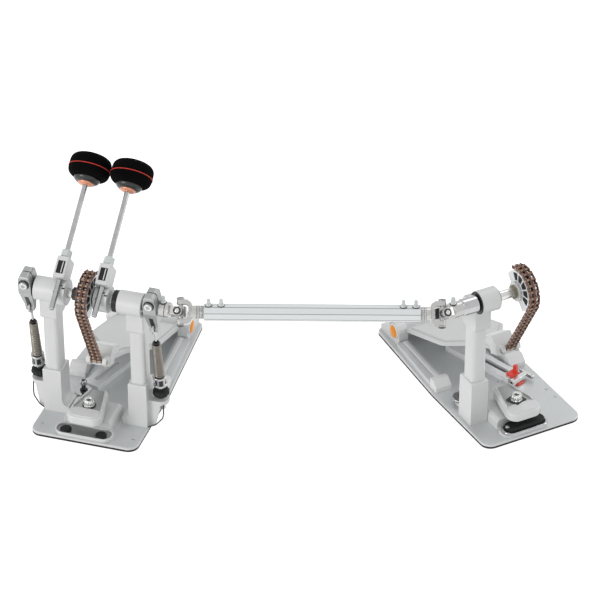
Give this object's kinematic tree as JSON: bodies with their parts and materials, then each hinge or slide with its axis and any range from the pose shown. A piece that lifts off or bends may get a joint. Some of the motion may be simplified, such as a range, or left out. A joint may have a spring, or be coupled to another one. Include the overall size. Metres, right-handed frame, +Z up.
{
  "type": "double bass drum pedal",
  "caption": "Twin chain-driven bass drum pedals joined by a telescopic drive shaft with universal joints, with two felt beaters, return springs and hoop clamps.",
  "frame": {"origin": "on the floor under the middle of the main axle, at the bottom of the main mat", "axes": "+X along the main axle towards the slave pedal, +Y towards the drummer, +Z up"},
  "size_m": [0.6844, 0.441, 0.3386],
  "materials": {
    "casting": "satin",
    "plate": "satin",
    "board": "satin",
    "tube": "satin",
    "rubber": "matte",
    "felt": "matte",
    "chain": "satin",
    "amber": "gloss",
    "spring": "satin",
    "steel": "polished",
    "chrome": "polished"
  },
  "bodies": {
    "main_frame": {"main_base_plate": "plate", "main_rubbers": "rubber", "main_stay_bar": "plate", "main_left_post": "casting", "main_right_post": "casting", "main_bearings": "steel", "main_heel_plate": "casting", "main_heel_hinge": "amber", "main_clamp_base": "casting", "main_spurs": "chrome"},
    "main_jaw": {"main_clamp_jaw": "casting"},
    "main_bolt": {"main_clamp_bolt": "chrome"},
    "main_board": {"main_footboard": "board", "main_toe_clamp": "casting"},
    "main_axle": {"main_axle": "steel", "main_sprocket": "casting", "main_chain_wrap": "chain", "left_beater_hub": "casting", "left_rocker": "casting"},
    "left_beater": {"left_beater_rod": "steel", "left_beater_head": "felt"},
    "main_link_a": {"main_chain_link_a": "chain"},
    "main_link_b": {"main_chain_link_b": "chain"},
    "main_run": {"main_chain_run": "chain"},
    "left_hook": {"left_spring_hook": "chrome"},
    "left_spring": {"left_spring": "spring", "left_spring_adjuster": "chrome"},
    "drive_axle": {"drive_axle": "chrome", "right_beater_hub": "casting", "right_rocker": "casting"},
    "right_beater": {"right_beater_rod": "steel", "right_beater_head": "felt"},
    "right_hook": {"right_spring_hook": "chrome"},
    "right_spring": {"right_spring": "spring", "right_spring_adjuster": "chrome"},
    "main_cross": {"main_cross": "chrome"},
    "shaft": {"shaft_left_yoke": "chrome", "shaft_tube": "tube", "shaft_screws": "chrome"},
    "shaft_right": {"shaft_right_yoke": "chrome"},
    "slave_cross": {"slave_cross": "chrome"},
    "slave_frame": {"slave_base_plate": "plate", "slave_rubbers": "rubber", "slave_stay_bar": "plate", "slave_post": "casting", "slave_bearing": "steel", "slave_heel_plate": "casting", "slave_heel_hinge": "amber", "slave_clamp_base": "casting", "slave_spurs": "chrome"},
    "slave_jaw": {"slave_clamp_jaw": "casting"},
    "slave_bolt": {"slave_clamp_bolt": "chrome"},
    "slave_board": {"slave_footboard": "board", "slave_toe_clamp": "casting"},
    "slave_axle": {"slave_axle": "chrome", "slave_sprocket": "casting", "slave_chain_wrap": "chain"},
    "slave_link_a": {"slave_chain_link_a": "chain"},
    "slave_link_b": {"slave_chain_link_b": "chain"},
    "slave_run": {"slave_chain_run": "chain"}
  },
  "joints": [
    {"name": "main_press", "type": "hinge", "parent": "main_frame", "child": "main_board", "pos_m": [0, 0.2157, 0.024], "axis": [1, 0, 0], "range_deg": [0, 8.05], "stiffness_Nm_per_rad": 20, "springref_deg": -5.73},
    {"name": "main_axle_turn", "type": "hinge", "parent": "main_frame", "child": "main_axle", "pos_m": [0, 0, 0.197], "axis": [1, 0, 0], "range_deg": [0, 45.9]},
    {"name": "main_link_a_bend", "type": "hinge", "parent": "main_axle", "child": "main_link_a", "pos_m": [0, -0.02993, 0.20358], "axis": [1, 0, 0], "range_deg": [-23.6, 0]},
    {"name": "main_link_b_bend", "type": "hinge", "parent": "main_link_a", "child": "main_link_b", "pos_m": [0, -0.03061, 0.19561], "axis": [1, 0, 0], "range_deg": [-15.3, 0]},
    {"name": "main_run_swing", "type": "hinge", "parent": "main_link_b", "child": "main_run", "pos_m": [0, -0.02921, 0.18773], "axis": [1, 0, 0], "range_deg": [-15.3, 0]},
    {"name": "main_jaw_tip", "type": "hinge", "parent": "main_frame", "child": "main_jaw", "pos_m": [-0.0015, 0.018, 0.0213], "axis": [1, 0, 0], "range_deg": [0, 6]},
    {"name": "main_bolt_feed", "type": "slide", "parent": "main_frame", "child": "main_bolt", "axis": [0, 0, 1], "range_m": [-0.0006, 0]},
    {"name": "slave_press", "type": "hinge", "parent": "slave_frame", "child": "slave_board", "pos_m": [0.36057, 0.32623, 0.024], "axis": [0.7009, 0.7133, 0], "range_deg": [0, 8.53], "stiffness_Nm_per_rad": 20, "springref_deg": -5.73},
    {"name": "slave_axle_turn", "type": "hinge", "parent": "slave_frame", "child": "slave_axle", "pos_m": [0.51442, 0.17504, 0.197], "axis": [0.7009, 0.7133, 0], "range_deg": [0, 45.9]},
    {"name": "slave_link_a_bend", "type": "hinge", "parent": "slave_axle", "child": "slave_link_a", "pos_m": [0.53601, 0.15382, 0.20176], "axis": [0.7009, 0.7133, 0], "range_deg": [-25.82, 0]},
    {"name": "slave_link_b_bend", "type": "hinge", "parent": "slave_link_a", "child": "slave_link_b", "pos_m": [0.53616, 0.15368, 0.19376], "axis": [0.7009, 0.7133, 0], "range_deg": [-15.3, 0]},
    {"name": "slave_run_swing", "type": "hinge", "parent": "slave_link_b", "child": "slave_run", "pos_m": [0.53482, 0.155, 0.18599], "axis": [0.7009, 0.7133, 0], "range_deg": [-15.3, 0]},
    {"name": "slave_jaw_tip", "type": "hinge", "parent": "slave_frame", "child": "slave_jaw", "pos_m": [0.49598, 0.18195, 0.0213], "axis": [0.7009, 0.7133, 0], "range_deg": [0, 6]},
    {"name": "slave_bolt_feed", "type": "slide", "parent": "slave_frame", "child": "slave_bolt", "axis": [0, 0, 1], "range_m": [-0.0006, 0]},
    {"name": "left_hook_swing", "type": "hinge", "parent": "main_axle", "child": "left_hook", "pos_m": [-0.0815, 0.00526, 0.1624], "axis": [1, 0, 0], "range_deg": [-57.04, 0]},
    {"name": "left_spring_swing", "type": "hinge", "parent": "main_frame", "child": "left_spring", "pos_m": [-0.0815, 0.023, 0.04574], "axis": [1, 0, 0], "range_deg": [-11.14, 0], "deforming": ["left_spring"]},
    {"name": "drive_axle_turn", "type": "hinge", "parent": "main_frame", "child": "drive_axle", "pos_m": [0, 0, 0.197], "axis": [1, 0, 0], "range_deg": [0, 49.34]},
    {"name": "right_hook_swing", "type": "hinge", "parent": "drive_axle", "child": "right_hook", "pos_m": [0.0845, 0.00526, 0.1624], "axis": [1, 0, 0], "range_deg": [-60.96, 0]},
    {"name": "right_spring_swing", "type": "hinge", "parent": "main_frame", "child": "right_spring", "pos_m": [0.0845, 0.023, 0.04574], "axis": [1, 0, 0], "range_deg": [-11.63, 0], "deforming": ["right_spring"]},
    {"name": "main_cross_tilt", "type": "hinge", "parent": "drive_axle", "child": "main_cross", "pos_m": [0.1215, 0, 0.197], "axis": [0, 0.7791, -0.6269], "range_deg": [0, 13.6]},
    {"name": "shaft_roll", "type": "hinge", "parent": "main_frame", "child": "shaft", "pos_m": [0.1215, 0, 0.197], "axis": [0.9588, 0.284, 0], "range_deg": [0, 50.95]},
    {"name": "shaft_right_roll", "type": "hinge", "parent": "slave_frame", "child": "shaft_right", "pos_m": [0.43312, 0.0923, 0.197], "axis": [0.9588, 0.284, 0], "range_deg": [0, 50.95]},
    {"name": "slave_cross_tilt", "type": "hinge", "parent": "slave_axle", "child": "slave_cross", "pos_m": [0.43312, 0.0923, 0.197], "axis": [-0.575, 0.5651, -0.5917], "range_deg": [-23.42, 0]},
    {"name": "shaft_reach", "type": "slide", "parent": "main_frame", "child": "slave_frame", "axis": [0.9588, 0.284, 0], "range_m": [0, 0.08]},
    {"name": "left_beater_height", "type": "slide", "parent": "main_axle", "child": "left_beater", "axis": [0, 0.7837, 0.6211], "range_m": [0, 0.02]},
    {"name": "right_beater_height", "type": "slide", "parent": "drive_axle", "child": "right_beater", "axis": [0, 0.7837, 0.6211], "range_m": [0, 0.02]}
  ],
  "couplings": [
    {"joint": "main_axle_turn", "follows": "main_press", "ratio": 5.5905},
    {"joint": "main_link_a_bend", "follows": "main_press", "ratio": -2.8749},
    {"joint": "main_link_b_bend", "follows": "main_press", "ratio": -1.8635},
    {"joint": "main_run_swing", "follows": "main_press", "ratio": -1.8635},
    {"joint": "main_bolt_feed", "follows": "main_jaw_tip", "m_per_rad": -0.005},
    {"joint": "slave_axle_turn", "follows": "slave_press", "ratio": 5.274},
    {"joint": "slave_link_a_bend", "follows": "slave_press", "ratio": -2.9671},
    {"joint": "slave_link_b_bend", "follows": "slave_press", "ratio": -1.758},
    {"joint": "slave_run_swing", "follows": "slave_press", "ratio": -1.758},
    {"joint": "slave_bolt_feed", "follows": "slave_jaw_tip", "m_per_rad": -0.005},
    {"joint": "left_hook_swing", "follows": "main_press", "ratio": -6.9475},
    {"joint": "left_spring_swing", "follows": "main_press", "ratio": -1.3569},
    {"joint": "drive_axle_turn", "follows": "slave_press", "ratio": 5.6688},
    {"joint": "right_hook_swing", "follows": "slave_press", "ratio": -7.0048},
    {"joint": "right_spring_swing", "follows": "slave_press", "ratio": -1.336},
    {"joint": "main_cross_tilt", "follows": "slave_press", "ratio": 1.5626},
    {"joint": "shaft_roll", "follows": "slave_press", "ratio": 5.8545},
    {"joint": "shaft_right_roll", "follows": "slave_press", "ratio": 5.8545},
    {"joint": "slave_cross_tilt", "follows": "slave_press", "ratio": -2.6914}
  ]
}
